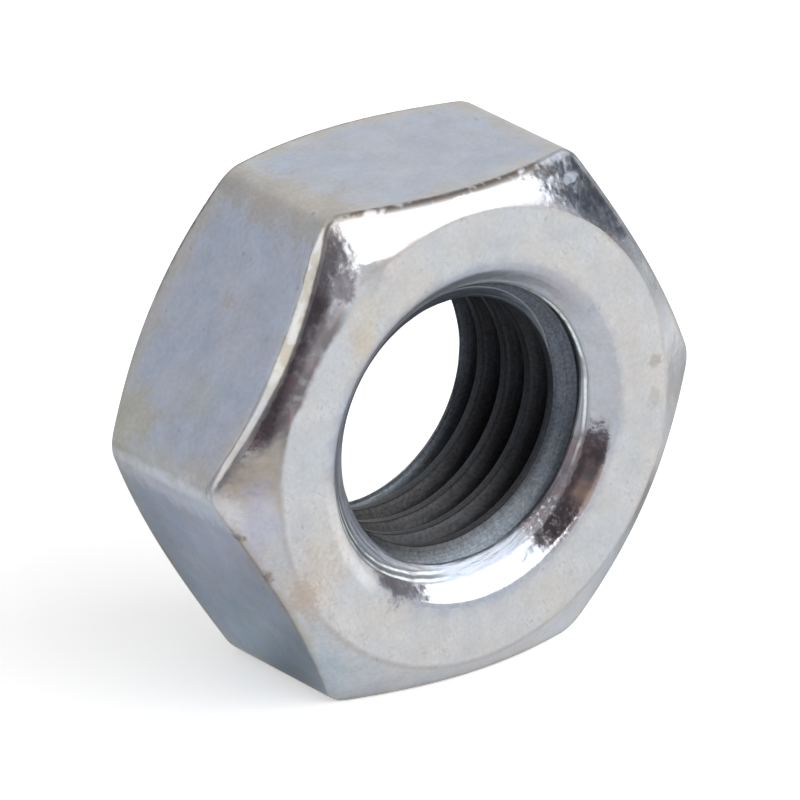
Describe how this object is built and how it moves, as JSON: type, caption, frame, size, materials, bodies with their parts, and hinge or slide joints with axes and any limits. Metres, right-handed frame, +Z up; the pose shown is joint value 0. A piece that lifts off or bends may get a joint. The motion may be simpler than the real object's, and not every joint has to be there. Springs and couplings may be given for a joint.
{
  "type": "hexagon nut",
  "caption": "Plated steel hexagon nut with chamfered corners, countersunk bore ends and an internal metric fine thread, for clamping on a bolt or stud.",
  "frame": {"origin": "centre of the footprint of the flat the nut stands on, at floor height", "axes": "+Z up, with the nut standing on one of its flats; Y along the thread axis, with the front bearing face towards -Y; X across the corners"},
  "size_m": [0.0194, 0.008, 0.017],
  "materials": {
    "zinc_steel": "bright zinc plating, satin on the flats and burnished on the chamfers and countersinks"
  },
  "bodies": {
    "root": {"hex_nut": "zinc_steel"}
  },
  "joints": []
}
